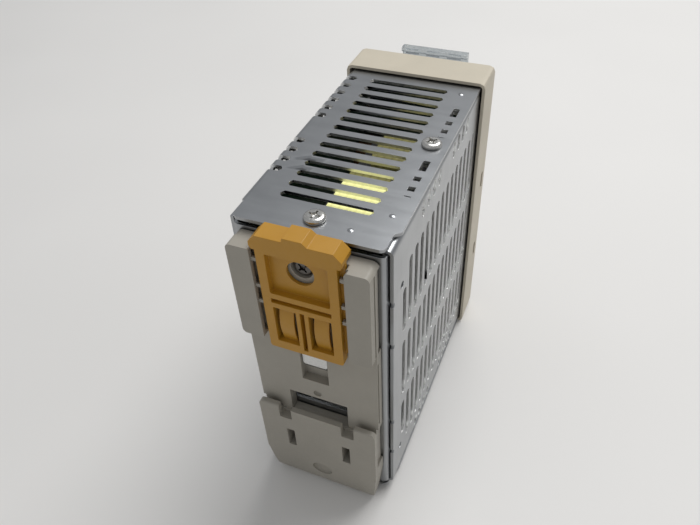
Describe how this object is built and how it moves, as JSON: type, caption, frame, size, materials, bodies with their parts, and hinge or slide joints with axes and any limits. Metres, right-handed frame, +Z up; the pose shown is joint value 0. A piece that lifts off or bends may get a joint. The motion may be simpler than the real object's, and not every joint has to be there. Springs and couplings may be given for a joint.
{
  "type": "din rail power supply",
  "caption": "Slotted sheet-metal power supply with a moulded front, hinged clear terminal covers and a rear base whose slider locks it on a 35 mm DIN rail.",
  "frame": {"origin": "middle of the footprint, on the surface the unit stands on", "axes": "+X to the right seen from the rail side, +Y towards the terminals, -Y towards the rail, +Z up with the rail slider at the top"},
  "size_m": [0.05, 0.1212, 0.117],
  "materials": {
    "zinc_sheet": "zinc-plated sheet steel, satin, with brighter cut edges",
    "nickel": "bright nickel-plated steel",
    "grey_plastic": "warm grey moulded plastic, fine matte grain",
    "mustard_plastic": "mustard yellow moulded plastic, semi-matte",
    "beige_plastic": "beige moulded plastic, matte",
    "dark_plastic": "dark grey moulded plastic",
    "clear_plastic": "clear polycarbonate, glossy",
    "label_film": "blank satin label film",
    "blue_plastic": "blue moulded plastic",
    "white_plastic": "off-white plastic",
    "green_lens": "translucent green plastic",
    "board_green": "green solder mask on glass-fibre board",
    "ferrite": "dark grey sintered ferrite",
    "yellow_tape": "yellow polyester winding tape",
    "dark_sleeve": "dark shrink sleeve",
    "copper_wire": "enamelled copper wire",
    "film_plastic": "yellow moulded capacitor case",
    "ceramic": "glazed ceramic",
    "aluminium": "plain extruded aluminium",
    "black_epoxy": "moulded black epoxy"
  },
  "bodies": {
    "root": {"case_wrap": "zinc_sheet", "right_cover": "zinc_sheet", "back_wall": "zinc_sheet", "case_screw_top_side": "nickel", "case_screw_bottom_side": "nickel", "case_screw_top_back": "nickel", "case_screw_bottom_back": "nickel", "rear_base": "grey_plastic", "detent_tongue": "nickel", "base_screw": "nickel", "front_bezel": "beige_plastic", "front_label": "label_film", "input_terminal_block": "dark_plastic", "input_clamp_1": "nickel", "input_terminal_screw_1": "nickel", "input_clamp_2": "nickel", "input_terminal_screw_2": "nickel", "input_clamp_3": "nickel", "input_terminal_screw_3": "nickel", "output_terminal_block": "dark_plastic", "output_clamp_1": "nickel", "output_terminal_screw_1": "nickel", "output_clamp_2": "nickel", "output_terminal_screw_2": "nickel", "output_clamp_3": "nickel", "output_terminal_screw_3": "nickel", "output_clamp_4": "nickel", "output_terminal_screw_4": "nickel", "voltage_trimmer_body": "blue_plastic", "signal_light_pipe": "green_lens", "main_board": "board_green", "front_board": "board_green", "insulation_sheet": "white_plastic", "board_standoff_1": "nickel", "board_screw_1": "nickel", "board_standoff_2": "nickel", "board_screw_2": "nickel", "board_standoff_3": "nickel", "board_screw_3": "nickel", "board_standoff_4": "nickel", "board_screw_4": "nickel", "transformer_core": "ferrite", "transformer_winding": "yellow_tape", "filter_choke_core": "ferrite", "filter_choke_winding": "yellow_tape", "bulk_capacitor": "dark_sleeve", "output_capacitor_1": "dark_sleeve", "output_capacitor_2": "dark_sleeve", "film_capacitor": "film_plastic", "mains_choke": "copper_wire", "fuse": "ceramic", "input_heat_sink": "aluminium", "output_heat_sink": "aluminium", "switching_transistor": "black_epoxy", "bridge_rectifier": "black_epoxy", "output_rectifier": "black_epoxy"},
    "slider": {"rail_slider": "mustard_plastic"},
    "input_cover": {"input_terminal_cover": "clear_plastic"},
    "output_cover": {"output_terminal_cover": "clear_plastic"},
    "trimmer": {"voltage_trimmer_rotor": "white_plastic"}
  },
  "joints": [
    {"name": "slider_release", "type": "slide", "parent": "root", "child": "slider", "axis": [0, 0, 1], "range_m": [0, 0.005]},
    {"name": "input_cover_hinge", "type": "hinge", "parent": "root", "child": "input_cover", "pos_m": [0, 0.05855, 0.09], "axis": [-1, 0, 0], "range_deg": [0, 110]},
    {"name": "output_cover_hinge", "type": "hinge", "parent": "root", "child": "output_cover", "pos_m": [0, 0.05855, 0.025], "axis": [1, 0, 0], "range_deg": [0, 110]},
    {"name": "trimmer_turn", "type": "hinge", "parent": "root", "child": "trimmer", "pos_m": [0.017, 0.05335, 0.064], "axis": [0, 1, 0], "range_deg": [-135, 135]}
  ]
}
